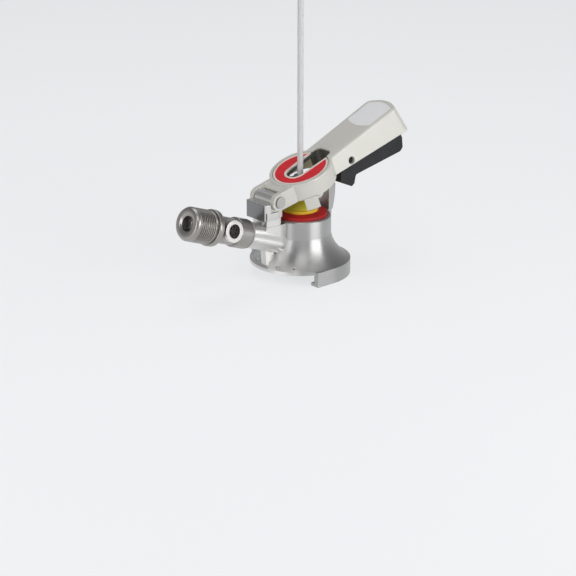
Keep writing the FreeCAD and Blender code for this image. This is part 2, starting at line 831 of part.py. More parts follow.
def head_tab():
    """Cheek that hangs below the collar beside the hinge, on one side."""
    reach = 2 * head_r
    corners = [(0.0, 0.0, 0)]
    for angle in (tab_start, (tab_start + tab_end) / 2, tab_end):
        turn = math.radians(angle)
        corners.append((reach * math.cos(turn), reach * math.sin(turn), 0))
    wedge = plan_prism(corners, -tab_drop, 1 - collar_depth)
    return wedge.common(tube(tab_r, head_r - 7, -tab_drop, 1 - collar_depth))


def cam_boss():
    """Boss inside the collar that holds one cam pin."""
    z = -cam_pin_drop
    barrel = cross_rod(cam_boss_r, cam_pin_x, z, cam_boss_inner, head_r - 3)
    rib = block(cam_pin_x - cam_boss_r, cam_pin_x + cam_boss_r, cam_boss_inner + 1.5, head_r - 4, z, -2)
    return barrel.fuse(rib)


def ring_relief():
    """Room for the wiper ring as the handle comes down round it."""
    radius = wiper_r + side_gap
    lowered_x = handle_hinge_x - hinge_x
    z0 = -tab_drop - 1
    z1 = -collar_depth - 0.2
    near = Part.makeCylinder(radius, z1 - z0, Vector(lowered_x, 0, z0))
    far = Part.makeCylinder(radius, z1 - z0, Vector(lowered_x - tab_swing_room, 0, z0))
    between = block(lowered_x - tab_swing_room, lowered_x, -radius, radius, z0, z1)
    return fuse([near, far, between])


def handle_casting():
    head = tube(head_r, 0, -collar_depth, 0)
    rim = [edge for edge in head.Edges if edge.BoundBox.ZMin > -0.01]
    head = head.makeFillet(0.8, rim[:1])
    solids = [head, arm_shell(), handle_web()]
    solids += mirrored(handle_flank())
    solids += mirrored(head_tab())
    casting = fuse(solids)
    cavity = tube(head_r - head_wall, 0, -collar_depth - 20, -head_roof)
    casting = casting.cut(cavity)
    casting = fuse([casting] + mirrored(cam_boss()))
    cuts = [
        tube(plate_r + plate_gap, 0, -plate_thickness - 0.6, 1),
        plan_prism(slot_outline(0), -60, 2),
        ring_relief(),
        block(-60, cam_pin_x, -flank_inner, flank_inner, -60, -head_roof - 4.4),
        cross_rod(hinge_bush_r + seat_gap, handle_hinge_x, handle_hinge_z, -20, 20),
        cross_rod(trigger_pin_r + seat_gap, trigger_pin_x, -trigger_pin_drop, -30, 30),
        label_solid(0),
    ]
    for side in (-1, 1):
        cuts.append(cross_rod(cam_pin_r + seat_gap, cam_pin_x, -cam_pin_drop, side * 10, side * (head_r - 2.6)))
    for cut in cuts:
        casting = casting.cut(cut)
    return raised(casting)


def label_solid(gap):
    """Thin panel on the arm's top, its end towards the plate bowed."""
    half = label_half - gap
    near = label_start + gap
    far = label_end - gap
    start = Vector(near + label_start_bow, -half, 0)
    bow = Vector(near, 0, 0)
    stop = Vector(near + label_start_bow, half, 0)
    far_top = Vector(far - label_end_bow, half, 0)
    far_mid = Vector(far, 0, 0)
    far_low = Vector(far - label_end_bow, -half, 0)
    wire = Part.Wire([
        Part.Arc(start, bow, stop).toShape(), Part.LineSegment(stop, far_top).toShape(),
        Part.Arc(far_top, far_mid, far_low).toShape(), Part.LineSegment(far_low, start).toShape()])
    panel = Part.Face(wire).extrude(Vector(0, 0, label_depth - gap * 2))
    panel.translate(Vector(0, 0, -label_depth + gap))
    return tilted_arm(panel)


def face_plates():
    """Red insert and the pale border round it and along the slot."""
    top = -0.3
    bottom = -plate_thickness - 0.55
    disc = tube(plate_r, 0, bottom, top)
    border = disc.cut(plan_prism(slot_outline(0.4), bottom - 1, top + 1))
    inner = tube(plate_r - plate_border, 0, bottom - 1, top + 1)
    inner = inner.cut(plan_prism(slot_outline(0.4 + plate_border), bottom - 2, top + 2))
    border = border.cut(inner)
    plate = tube(plate_r - plate_border - seat_gap, 0, bottom, top - 0.35)
    plate = plate.cut(plan_prism(slot_outline(0.4 + plate_border + seat_gap), bottom - 1, top + 1))
    return raised(border), raised(plate)


def cam_pin(side):
    outer = head_r - 2.7
    return raised(cross_rod(cam_pin_r, cam_pin_x, -cam_pin_drop, side * (bell_waist_r + 1.2), side * outer))


def hinge_bush(side):
    near = flank_inner + 0.02
    outer = cross_rod(hinge_bush_r, handle_hinge_x, handle_hinge_z, side * near, side * flank_outer)
    hole = cross_rod(hinge_pin_r + running_fit, handle_hinge_x, handle_hinge_z, side * (near - 1),
                     side * (flank_outer + 1))
    return raised(outer.cut(hole))


def trigger_lever():
    """Lever under the arm: hooked heel at the post, long finger grip to the arm's end."""
    lever = side_prism([
        (26.2, -19.6, 1.2), (23.7, -25.6, 0.9), (33.0, -35.2, 1.2), (36.3, -34.3, 0.8), (40.2, -28.4, 2.5),
        (90.0, -36.7, 4.0), (93.2, -34.6, 2.0), (95.2, -26.7, 1.0), (94.4, -17.4, 1.0),
        (88.0, -15.6, 6.0), (56.0, -14.6, 10.0), (44.5, -7.0, 3.0), (33.7, -6.4, 2.4), (32.3, -15.6, 1.5)],
        -trigger_half, trigger_half)
    grip_hollow = side_prism([
        (50.0, -25.6, 2.0), (84.0, -31.4, 2.0), (86.0, -13.0, 0), (50.0, -10.0, 0)],
        -trigger_half + trigger_floor, trigger_half - trigger_floor)
    lever = lever.cut(grip_hollow)
    lever = lever.cut(cross_rod(trigger_pin_r + running_fit, trigger_pin_x, -trigger_pin_drop, -20, 20))
    spring_room = cross_rod(trigger_spring_room, trigger_pin_x, -trigger_pin_drop,
                            -trigger_spring_half, trigger_spring_half)
    return raised(lever.cut(spring_room))


def trigger_pin():
    return raised(cross_rod(trigger_pin_r, trigger_pin_x, -trigger_pin_drop, -trigger_pin_half, trigger_pin_half))


def trigger_spring():
    """Torsion spring round the trigger's pin, one leg on the arm's roof."""
    wire_r = 0.5
    length = 2 * trigger_spring_half - 2 * wire_r - 0.6
    spring = coil(trigger_spring_r - 0.4, wire_r, 2, length)
    spring.rotate(Vector(0, 0, 0), Vector(1, 0, 0), -90)
    spring.translate(Vector(trigger_pin_x, -length / 2, -trigger_pin_drop))
    start = Vector(trigger_pin_x + trigger_spring_r - 0.4, -length / 2, -trigger_pin_drop)
    stop = Vector(trigger_pin_x + trigger_spring_r + 2.2, -length / 2, -arm_wall - wire_r - 0.3)
    return raised(fuse([spring, rod(wire_r, start, stop)]))


def label_panel():
    return raised(label_solid(seat_gap))


def export(name, shape):
    shape.exportStep("parts/" + name + ".step")
    solids = len(shape.Solids)
    print(name, solids, round(shape.Volume, 1), "valid" if shape.isValid() else "NOT VALID")


def main():
    os.makedirs("parts", exist_ok=True)
    relief_cap, relief_poppet, relief_spring = relief_parts()
    border, plate = face_plates()
    connector_low = rise(line_end) - connector_cover
    connector_top = connector_low + connector_length
    nodes = {
        "coupler_body": coupler_body(),
        "slide_skirt": slide_skirt(),
        "hinge_bracket": hinge_bracket(),
        "body_seal": body_seal(),
        "red_wiper_ring": red_wiper_ring(),
        "hinge_pin": hinge_pin(),
        "hinge_clip": hinge_clip(),
        "gas_washer": gas_washer(),
        "gas_adaptor": gas_adaptor(),
        "gas_spigot": gas_spigot(),
        "gas_check_seat": gas_check_seat(),
        "gas_check_poppet": gas_check_poppet(),
        "gas_check_spring": gas_check_spring(),
        "relief_cap": relief_cap,
        "relief_poppet": relief_poppet,
        "relief_spring": relief_spring,
        "probe_tube": probe_tube(),
        "probe_tip_seal": probe_tip_seal(),
        "ball_seat": ball_seat(),
        "ball_cage": ball_cage(),
        "beer_check_ball": beer_check_ball(),
        "probe_bell": probe_bell(),
        "piston_o_ring": piston_o_ring(),
        "outlet_socket": outlet_socket(),
        "outlet_collet": outlet_collet(),
        "beer_line": beer_line(),
        "line_connector": line_connector(),
        "line_collet_lower": line_collet(connector_low, -1, seat_gap),
        "line_collet_upper": line_collet(connector_top, 1, port_gap),
        "handle_casting": handle_casting(),
        "plate_border": border,
        "red_plate": plate,
        "label_panel": label_panel(),
        "cam_pin_front": cam_pin(-1),
        "cam_pin_rear": cam_pin(1),
        "hinge_bush_front": hinge_bush(-1),
        "hinge_bush_rear": hinge_bush(1),
        "trigger_lever": trigger_lever(),
        "trigger_pin": trigger_pin(),
        "trigger_spring": trigger_spring(),
    }
    for name, shape in nodes.items():
        export(name, shape)


main()
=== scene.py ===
import math

import bmesh
import bpy
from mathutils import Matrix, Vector


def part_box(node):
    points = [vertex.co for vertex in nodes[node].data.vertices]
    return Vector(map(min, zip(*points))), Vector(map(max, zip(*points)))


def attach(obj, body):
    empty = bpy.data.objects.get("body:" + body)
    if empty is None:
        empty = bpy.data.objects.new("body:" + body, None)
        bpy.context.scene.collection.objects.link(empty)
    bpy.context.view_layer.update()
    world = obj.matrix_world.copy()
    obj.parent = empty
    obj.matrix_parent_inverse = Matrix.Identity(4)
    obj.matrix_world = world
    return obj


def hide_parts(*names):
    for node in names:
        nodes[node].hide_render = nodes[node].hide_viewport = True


# Looks of the keg coupler: the finish of every piece, the beer line, the gas inlet's cut thread, and the
# studio round them. Sizes are in metres in the model's own frame, with +Z up.

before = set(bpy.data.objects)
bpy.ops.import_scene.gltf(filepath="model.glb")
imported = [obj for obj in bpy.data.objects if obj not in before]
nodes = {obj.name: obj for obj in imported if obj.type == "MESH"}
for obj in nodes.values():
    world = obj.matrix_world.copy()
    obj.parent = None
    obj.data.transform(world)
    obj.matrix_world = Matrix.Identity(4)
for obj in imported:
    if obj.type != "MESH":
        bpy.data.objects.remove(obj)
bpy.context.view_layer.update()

MM = 0.001

# Camera, as the photograph was taken: a long lens a little above the handle
image_px = 576
focal_px = 1800.0
sensor_mm = 36.0
camera_pitch = math.radians(20.31)
camera_azimuth = math.radians(41.19)
camera_distance = 1434.8 * MM
camera_reach = 30.0
target_right = -9.57 * MM
target_up = -14.23 * MM

# Gas spigot, with distances along its axis from the body's own: a collar, then a G3/4 thread
spigot_slope = math.radians(20.15)
spigot_origin = Vector((0.0, 0.0, 22.1 * MM))
spigot_tail = 91.05 * MM
spigot_collar = 94.0 * MM
spigot_thread = 99.0 * MM
spigot_end = 121.0 * MM
chamber_r = 6.0 * MM
tail_r = 8.0 * MM
collar_r = 14.2 * MM
collar_round = 1.0 * MM
round_steps = 4
spigot_segments = 96
sharp_bend = math.radians(50)

# Its thread: the flats on its crest and root are a share of the pitch, and it fades out at both ends
thread_major_r = 13.2 * MM
thread_depth = 1.16 * MM
thread_pitch = 1.814 * MM
thread_start = 100.9 * MM
thread_stop = 117.6 * MM
thread_neck = 0.5 * MM
thread_fade = 1.2 * MM
thread_flat = 0.14
thread_fullness = 0.8
thread_rows = 170

# Its mouth, from the thread round to the chamber: millimetres back from the end, and radius
mouth_profile = (
    (2.2, 13.15), (1.1, 12.5), (0.3, 11.95), (0.0, 11.5),
    (0.0, 7.6), (0.35, 7.1), (1.0, 6.0),
)

# Raised handle: its plate's tilt and height, and the reach of the painted shade on the walls in its slot
plate_tilt = math.radians(21.0)
plate_centre_z = 85.0 * MM
slot_shade_back = -13.0 * MM
slot_shade_front = 28.8 * MM
slot_shade_top = -0.9 * MM
slot_shade_half = 10.2 * MM
slot_shade_fade = 0.4 * MM

# Where a colour changes, each with the width over which it fades in: a painted highlight on the gas
# branch, painted shade on the hinge block's outer face, a painted highlight on the relief valve's boss,
# and the guide bell's rim in a warmer yellow as painted light against its cone's painted shade
branch_highlight_start = 25.0 * MM
branch_fade = 4.0 * MM
bracket_shade_from = -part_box("hinge_bracket")[0][0] - 0.4 * MM
bracket_fade = 0.25 * MM
boss_highlight_from = -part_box("gas_adaptor")[0][1] - 3.2 * MM
boss_fade = 1.0 * MM
bell_lit_rim_z = 52.6 * MM
bell_fade = 1.2 * MM

# Wear that every finish shares: noise in waves to the metre or as a share of the mottle's own, and the
# part of the noise's range over which each effect comes in
stain_share = 0.45
stain_limits = (0.52, 0.72)
stain_darkness = 0.45
chip_waves = 900.0
chip_limits = (0.42, 0.62)
gloss_share = 3.1
grain_strength = 0.8
turning_depth = 0.003 * MM
turning_strength = 0.6
coat_roughness = 0.18

# How nearly a rounded normal agrees with the flat one, from a worn edge to none
edge_limits = (0.78, 0.965)
edge_samples = 8

# Beer line, with straight runs at both of its ends
line_radius = 2.38 * MM
line_exit_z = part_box("outlet_collet")[1][2]
line_end_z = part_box("beer_line")[1][2]
line_end_run = 50.0 * MM

# Studio: the point that the lamps look at, and the floor, which shows partly by its own glow
object_centre = Vector((0.0, 0.0, 60.0 * MM))
floor_size = 9.0
floor_pale = (0.86, 0.865, 0.875)
floor_shade = (0.84, 0.845, 0.855)
floor_waves = 3.0
floor_glow = (0.955, 0.965, 0.985)
floor_glow_share = 0.7

# Sky's tones by height, from 0 at the horizon and below to 1 overhead
sky_tones = ((0.0, (0.8, 0.8, 0.8)), (0.35, (0.45, 0.45, 0.46)), (1.0, (0.34, 0.34, 0.35)))
sky_strength = 0.7

# Directions
inlet_side = Vector((-1.0, 0.0, 0.0))
front_side = Vector((0.0, -1.0, 0.0))
sideways = Vector((0.0, 1.0, 0.0))
upwards = Vector((0.0, 0.0, 1.0))


def place(name, data):
    """New object in the scene."""
    made = bpy.data.objects.new(name, data)
    bpy.context.collection.objects.link(made)
    return made


def scaled(colour, factor):
    """Colour made darker or lighter by a factor."""
    return tuple(factor * part for part in colour)


def add_camera():
    """Long lens that looks at a point beside the body's axis."""
    right = Vector((math.cos(camera_azimuth), -math.sin(camera_azimuth), 0))
    back = Vector((-math.sin(camera_azimuth) * math.cos(camera_pitch),
                   -math.cos(camera_azimuth) * math.cos(camera_pitch), math.sin(camera_pitch)))
    up = back.cross(right)
    target = right * target_right + up * target_up
    data = bpy.data.cameras.new("camera")
    data.sensor_width = sensor_mm
    data.lens = focal_px / image_px * sensor_mm
    data.clip_end = camera_reach
    camera = place("camera", data)
    camera.location = target + back * camera_distance
    camera.rotation_euler = (-back).to_track_quat("-Z", "Y").to_euler()
    bpy.context.scene.camera = camera


class Shader:
    """Small builder of a node material round one Principled shader."""

    # A mix node's colour sockets come after its sockets for numbers and vectors
    colour_inputs = (6, 7)
    colour_output = 2

    def __init__(self, name):
        self.material = bpy.data.materials.new(name)
        self.material.use_nodes = True
        self.tree = self.material.node_tree
        self.shader = self.tree.nodes["Principled BSDF"]
        self.coords = self.tree.nodes.new("ShaderNodeTexCoord").outputs["Object"]

    def node(self, kind, **settings):
        """New node with its own settings."""
        made = self.tree.nodes.new(kind)
        for key, value in settings.items():
            setattr(made, key, value)
        return made

    def fill(self, socket, value):
        """Fill a socket with another's output, a number, a direction or a colour."""
        if isinstance(value, bpy.types.NodeSocket):
            self.tree.links.new(value, socket)
        elif socket.type == "RGBA":
            socket.default_value = (*value, 1.0)
        else:
            socket.default_value = value

    def set(self, name, value):
        """Fill one of the shader's own sockets."""
        self.fill(self.shader.inputs[name], value)

    def arithmetic(self, operation, *values):
        """Number worked out from one or two others."""
        made = self.node("ShaderNodeMath", operation=operation)
        for socket, value in zip(made.inputs, values):
            self.fill(socket, value)
        return made.outputs["Value"]

    def dot(self, first, second):
        """Dot product of two vectors."""
        made = self.node("ShaderNodeVectorMath", operation="DOT_PRODUCT")
        self.fill(made.inputs[0], first)
        self.fill(made.inputs[1], second)
        return made.outputs["Value"]

    def reach(self, direction):
        """How far a point lies along a direction."""
        return self.dot(self.coords, direction)

    def noise(self, scale, detail, stretch=None):
        """Noise of a scale in waves to the metre, or of a scale for each axis."""
        vector = self.coords
        if stretch is not None:
            mapping = self.node("ShaderNodeMapping")
            self.fill(mapping.inputs["Scale"], stretch)
            self.fill(mapping.inputs["Vector"], self.coords)
            vector = mapping.outputs["Vector"]
        made = self.node("ShaderNodeTexNoise")
        self.fill(made.inputs["Scale"], scale)
        self.fill(made.inputs["Detail"], detail)
        self.fill(made.inputs["Vector"], vector)
        return made.outputs["Fac"]

    def spread(self, value, low, high, start=0.3, stop=0.7):
        """Value mapped from start and stop, which are a noise's usual range, to low and high."""
        made = self.node("ShaderNodeMapRange")
        limits = {"From Min": start, "From Max": stop, "To Min": low, "To Max": high}
        for name, limit in limits.items():
            self.fill(made.inputs[name], limit)
        self.fill(made.inputs["Value"], value)
        return made.outputs["Result"]

    def beyond(self, value, start, fade):
        """Mask that is 0 up to a start and rises to 1 over a fade."""
        return self.spread(value, 0.0, 1.0, start, start + fade)

    def within(self, value, stop, fade):
        """Mask that is 1 up to a stop and falls to 0 over a fade."""
        return self.spread(value, 1.0, 0.0, stop, stop + fade)

    def mix(self, factor, first, second):
        """Colour between two others."""
        made = self.node("ShaderNodeMix", data_type="RGBA")
        self.fill(made.inputs["Factor"], factor)
        for index, value in zip(self.colour_inputs, (first, second)):
            self.fill(made.inputs[index], value)
        return made.outputs[self.colour_output]

    def tint(self, mask, colour):
        """Lay a colour over the surface's own where a mask is 1."""
        surface = self.shader.inputs["Base Color"].links[0].from_socket
        self.set("Base Color", self.mix(mask, surface, colour))

    def bump(self, height, depth, strength, normal):
        """Normal with a relief added to it."""
        made = self.node("ShaderNodeBump")
        self.fill(made.inputs["Strength"], strength)
        self.fill(made.inputs["Distance"], depth)
        self.fill(made.inputs["Height"], height)
        self.fill(made.inputs["Normal"], normal)
        return made.outputs["Normal"]

    def soft_edges(self, radius):
        """Normal that rounds every edge by a radius, and a mask of those edges."""
        bevel = self.node("ShaderNodeBevel", samples=edge_samples)
        self.fill(bevel.inputs["Radius"], radius)
        flat = self.node("ShaderNodeNewGeometry")
        facing = self.dot(bevel.outputs["Normal"], flat.outputs["Normal"])
        return bevel.outputs["Normal"], self.spread(facing, 1.0, 0.0, *edge_limits)


def finish(name, colour, deep, rough, grain, metallic=0.0, edge=None, edge_radius=0.35 * MM, mottle=70.0,
           turned=None, dirt=0.0, coat=0.0):
    """A surface that drifts from a colour to a deeper one, with uneven gloss and fine relief.

    rough is the least and the most roughness. grain is the relief's waves to the metre and its depth.
    edge is the colour that edges wear to, mottle the drift's waves to the metre, turned the waves of
    turning marks along each axis, dirt how strong the stains are, and coat the weight of a clear coat.
    """
    made = Shader(name)
    normal, edges = made.soft_edges(edge_radius)
    drift = made.spread(made.noise(mottle, detail=4.0), 0.0, 1.0)
    base = made.mix(drift, colour, deep)
    if dirt > 0:
        stains = made.spread(made.noise(mottle * stain_share, detail=6.0), 0.0, dirt, *stain_limits)
        base = made.mix(stains, base, scaled(deep, stain_darkness))
    if edge is not None:
        chips = made.spread(made.noise(chip_waves, detail=3.0), 0.0, 1.0, *chip_limits)
        base = made.mix(made.arithmetic("MULTIPLY", edges, chips), base, edge)
    made.set("Base Color", base)
    made.set("Roughness", made.spread(made.noise(mottle * gloss_share, detail=5.0), *rough))
    grain_waves, grain_depth = grain
    normal = made.bump(made.noise(grain_waves, detail=4.0), grain_depth, grain_strength, normal)
    if turned is not None:
        marks = made.noise(1.0, detail=2.0, stretch=turned)
        normal = made.bump(marks, turning_depth, turning_strength, normal)
    made.set("Normal", normal)
    made.set("Metallic", metallic)
    if coat > 0:
        made.set("Coat Weight", coat)
        made.set("Coat Roughness", coat_roughness)
    return made


def cast_steel():
    """Stainless casting: fine rings draw highlights out along the neck; a painted highlight lightens the
    branch.
    """
    made = finish("cast_steel", (0.5, 0.498, 0.492), (0.47, 0.468, 0.462), rough=(0.37, 0.41),
                  grain=(900.0, 0.001 * MM), metallic=1.0, edge=(0.8, 0.79, 0.77), edge_radius=0.3 * MM,
                  mottle=30.0, turned=(25.0, 25.0, 2600.0))
    # Painted highlight: the gas branch gets a lighter colour in place of its highlight
    made.tint(made.beyond(made.reach(inlet_side), branch_highlight_start, branch_fade), (0.74, 0.733, 0.72))
    made.set("Anisotropic", 0.85)
    made.set("Anisotropic Rotation", 0.25)
    tangent = made.node("ShaderNodeTangent", direction_type="RADIAL", axis="Z")
    made.set("Tangent", tangent.outputs["Tangent"])
    return made


def pin_steel():
    """Turned pins, and the small steel pieces of the valves."""
    return finish("pin_steel", (0.5, 0.495, 0.48), (0.42, 0.415, 0.405), rough=(0.28, 0.38),
                  grain=(2200.0, 0.003 * MM), metallic=1.0, edge=(0.8, 0.79, 0.77),
                  turned=(2500.0, 60.0, 2500.0))


def satin_steel():
    """Hinge block: bright satin stainless, with painted shade darkening its outer face."""
    made = finish("satin_steel", (0.7, 0.697, 0.68), (0.63, 0.627, 0.61), rough=(0.3, 0.38),
                  grain=(1400.0, 0.004 * MM), metallic=1.0, edge=(0.9, 0.895, 0.88), edge_radius=0.6 * MM,
                  mottle=60.0, dirt=0.05)
    # Painted shade: the block's outer face is darkened
    made.tint(made.beyond(made.reach(inlet_side), bracket_shade_from, bracket_fade), (0.25, 0.251, 0.256))
    return made


def spring_steel():
    """Drawn wire of the springs."""
    return finish("spring_steel", (0.5, 0.49, 0.47), (0.38, 0.37, 0.36), rough=(0.25, 0.4),
                  grain=(3000.0, 0.004 * MM), metallic=1.0, edge_radius=0.1 * MM)


def probe_steel():
    """Fine-turned stainless of the probe."""
    return finish("probe_steel", (0.55, 0.55, 0.54), (0.48, 0.48, 0.47), rough=(0.18, 0.27),
                  grain=(2400.0, 0.004 * MM), metallic=1.0, turned=(20.0, 20.0, 3600.0))


def adaptor_nickel(name, edge_radius):
    """Turned fitting with a darker, warmer plating that has dulled in use."""
    return finish(name, (0.42, 0.405, 0.385), (0.35, 0.335, 0.315), rough=(0.27, 0.34),
                  grain=(1300.0, 0.003 * MM), metallic=1.0, edge=(0.78, 0.755, 0.72),
                  edge_radius=edge_radius, mottle=60.0, dirt=0.12)


def boss_nickel():
    """The adaptor's plating, with a painted highlight on the relief valve's boss."""
    made = adaptor_nickel("adaptor_nickel", 0.4 * MM)
    # Painted highlight: the relief valve's boss gets a pale colour
    made.tint(made.beyond(made.reach(front_side), boss_highlight_from, boss_fade), (0.7, 0.685, 0.66))
    return made


def relief_brass():
    """Blackened brass of the relief valve."""
    return finish("relief_brass", (0.045, 0.04, 0.034), (0.025, 0.022, 0.02), rough=(0.4, 0.55),
                  grain=(1800.0, 0.01 * MM), metallic=0.85, edge=(0.2, 0.185, 0.16), mottle=500.0,
                  dirt=0.4)


def handle_paint():
    """Satin pale coat over a zinc casting, rubbed bright along its edges, with painted shade in its slot.
    """
    made = finish("handle_paint", (0.66, 0.648, 0.6), (0.62, 0.607, 0.56), rough=(0.36, 0.46),
                  grain=(1100.0, 0.008 * MM), metallic=0.2, edge=(0.78, 0.77, 0.72), edge_radius=0.6 * MM,
                  mottle=45.0, coat=0.1)
    along = made.reach(Vector((math.cos(plate_tilt), 0.0, math.sin(plate_tilt))))
    above = made.reach(Vector((-math.sin(plate_tilt), 0.0, math.cos(plate_tilt))))
    aside = made.arithmetic("ABSOLUTE", made.reach(sideways))
    centre_along = plate_centre_z * math.sin(plate_tilt)
    centre_above = plate_centre_z * math.cos(plate_tilt)
    shaded_walls = made.beyond(along, centre_along + slot_shade_back - slot_shade_fade, slot_shade_fade)
    for limit in (made.within(along, centre_along + slot_shade_front, slot_shade_fade),
                  made.within(above, centre_above + slot_shade_top - slot_shade_fade, slot_shade_fade),
                  made.within(aside, slot_shade_half, slot_shade_fade)):
        shaded_walls = made.arithmetic("MULTIPLY", shaded_walls, limit)
    # Painted shade: the walls inside the slot are made nearly black
    made.tint(shaded_walls, (0.11, 0.106, 0.096))
    return made


def red_moulding(name, colour):
    """Low-gloss red plastic or rubber."""
    made = finish(name, colour, scaled(colour, 0.88), rough=(0.4, 0.5), grain=(1700.0, 0.006 * MM),
                  edge=(0.7, 0.07, 0.07), mottle=90.0)
    made.set("Specular IOR Level", 0.3)
    return made


def border_cream():
    """Pale moulding round the red insert."""
    return finish("border_cream", (0.86, 0.76, 0.7), (0.8, 0.69, 0.63), rough=(0.36, 0.48),
                  grain=(1900.0, 0.006 * MM), edge=(0.82, 0.74, 0.69), mottle=160.0, coat=0.1)


def label_pale():
    """Bare panel on the arm's top."""
    return finish("label_pale", (0.87, 0.87, 0.875), (0.84, 0.84, 0.845), rough=(0.38, 0.5),
                  grain=(2600.0, 0.005 * MM), edge=(0.5, 0.5, 0.49), mottle=110.0)


def yellow_moulding():
    """Waxy yellow moulding: an olive cone as painted shade and a warmer orange yellow rim as painted
    light.
    """
    made = finish("yellow_moulding", (0.68, 0.57, 0.014), (0.5, 0.43, 0.012), rough=(0.34, 0.48),
                  grain=(1500.0, 0.008 * MM), mottle=60.0, coat=0.1)
    # Painted light: below this height the rim turns a warmer orange yellow than the cone's shaded olive
    made.tint(made.within(made.reach(upwards), bell_lit_rim_z, bell_fade), (0.85, 0.52, 0.03))
    made.set("Subsurface Weight", 0.12)
    made.set("Subsurface Radius", (1.5 * MM, 1.0 * MM, 0.4 * MM))
    made.set("Subsurface Scale", 1.0)
    return made


def black_plastic(name):
    """Glass-filled moulding with a fine spark-eroded grain."""
    made = finish(name, (0.019, 0.0195, 0.021), (0.012, 0.0125, 0.014), rough=(0.5, 0.62),
                  grain=(2100.0, 0.02 * MM), edge=(0.07, 0.07, 0.07), mottle=80.0)
    made.set("Specular IOR Level", 0.35)
    return made


def black_rubber():
    """Matt rubber of the seals."""
    return finish("black_rubber", (0.022, 0.022, 0.022), (0.014, 0.014, 0.015), rough=(0.55, 0.72),
                  grain=(1200.0, 0.02 * MM), mottle=150.0)


def grey_plastic(name, colour):
    """Grey moulding of the push-in fittings."""
    return finish(name, colour, scaled(colour, 0.85), rough=(0.38, 0.52), grain=(1900.0, 0.01 * MM),
                  edge=scaled(colour, 1.3), mottle=120.0)


def oxide_steel():
    """Black oxide pin, nearly as dark as the hole that it sits in."""
    return finish("oxide_steel", (0.03, 0.03, 0.032), (0.018, 0.018, 0.02), rough=(0.4, 0.55),
                  grain=(1900.0, 0.01 * MM), metallic=0.6, edge=(0.12, 0.12, 0.12), mottle=200.0)


def washer_fibre():
    """Pressed fibre, matt and blotchy."""
    return finish("washer_fibre", (0.34, 0.325, 0.3), (0.25, 0.24, 0.22), rough=(0.6, 0.8),
                  grain=(1600.0, 0.03 * MM), mottle=400.0)


def line_clear():
    """Cloudy polythene tube with a soft sheen along it."""
    made = finish("line_clear", (0.62, 0.625, 0.632), (0.6, 0.605, 0.612), rough=(0.26, 0.3),
                  grain=(300.0, 0.001 * MM), edge_radius=0.01 * MM, mottle=12.0, coat=0.25)
    made.set("IOR", 1.5)
    return made


def dress(finished, *names):
    """Give a finish to carried-over pieces."""
    for name in names:
        for slot in nodes[name].material_slots:
            slot.material = finished.material


def dress_all():
    """Give every carried-over piece its finish."""
    dress(cast_steel(), "coupler_body", "slide_skirt")
    dress(satin_steel(), "hinge_bracket")
    dress(pin_steel(), "hinge_pin", "hinge_clip", "cam_pin_front", "cam_pin_rear", "gas_check_seat",
          "gas_check_poppet", "beer_check_ball")
    dress(oxide_steel(), "trigger_pin")
    dress(spring_steel(), "gas_check_spring", "relief_spring", "trigger_spring")
    dress(probe_steel(), "probe_tube")
    dress(boss_nickel(), "gas_adaptor")
    dress(relief_brass(), "relief_cap", "relief_poppet")
    dress(handle_paint(), "handle_casting")
    dress(red_moulding("red_plate_moulding", (0.72, 0.012, 0.022)), "red_plate")
    dress(red_moulding("red_ring_moulding", (0.42, 0.012, 0.014)), "red_wiper_ring")
    dress(border_cream(), "plate_border")
    dress(label_pale(), "label_panel")
    dress(yellow_moulding(), "probe_bell")
    dress(black_plastic("trigger_moulding"), "trigger_lever")
    dress(black_plastic("black_moulding"), "ball_seat", "ball_cage", "hinge_bush_front",
          "hinge_bush_rear")
    dress(black_rubber(), "body_seal", "probe_tip_seal", "piston_o_ring")
    dress(grey_plastic("grey_moulding", (0.15, 0.15, 0.148)), "outlet_socket", "outlet_collet",
          "line_collet_lower", "line_collet_upper")
    dress(grey_plastic("connector_moulding", (0.42, 0.43, 0.44)), "line_connector")
    dress(washer_fibre(), "gas_washer")


def spigot_profile():
    """Distance along the axis, radius and depth of thread, from the bore's back round to its mouth."""
    rows = [(spigot_tail, chamber_r, 0.0), (spigot_tail, tail_r, 0.0), (spigot_collar, tail_r, 0.0)]
    quarter = [math.radians(90.0 * step / round_steps) for step in range(round_steps + 1)]
    for turn in quarter:
        rows.append((spigot_collar + collar_round * (1 - math.cos(turn)),
                     collar_r - collar_round * (1 - math.sin(turn)), 0.0))
    for turn in quarter:
        rows.append((spigot_thread - collar_round * (1 - math.sin(turn)),
                     collar_r - collar_round * (1 - math.cos(turn)), 0.0))
    rows.append((spigot_thread, thread_major_r - thread_depth, 0.0))
    rows.append((thread_start - thread_neck, thread_major_r - thread_depth, 0.0))
    for step in range(thread_rows + 1):
        along = thread_start + (thread_stop - thread_start) * step / thread_rows
        fade = min(1.0, (along - thread_start) / thread_fade, (thread_stop - along) / thread_fade)
        rows.append((along, thread_major_r, thread_depth * fade))
    for back, radius in mouth_profile:
        rows.append((spigot_end - back * MM, radius * MM, 0.0))
    return rows


def thread_cut(along, share):
    """How deep the thread is, from 0 to 1, at a distance along the axis and a share of a turn."""
    wave = abs(((along / thread_pitch - share) % 1.0) * 2 - 1)
    flank = min(max((wave - thread_flat) / (1 - 2 * thread_flat), 0.0), 1.0)
    return (0.5 - 0.5 * math.cos(math.pi * flank)) ** thread_fullness


def spigot_points(rows):
    """A ring of points round the spigot's axis for each row of its profile."""
    across = Vector((math.sin(spigot_slope), 0.0, math.cos(spigot_slope)))
    axis = Vector((-math.cos(spigot_slope), 0.0, math.sin(spigot_slope)))
    points = []
    for along, radius, depth in rows:
        for segment in range(spigot_segments):
            share = segment / spigot_segments
            turn = 2 * math.pi * share
            outward = across * math.cos(turn) + sideways * math.sin(turn)
            here = radius - depth * thread_cut(along, share)
            points.append(spigot_origin + axis * along + outward * here)
    return points


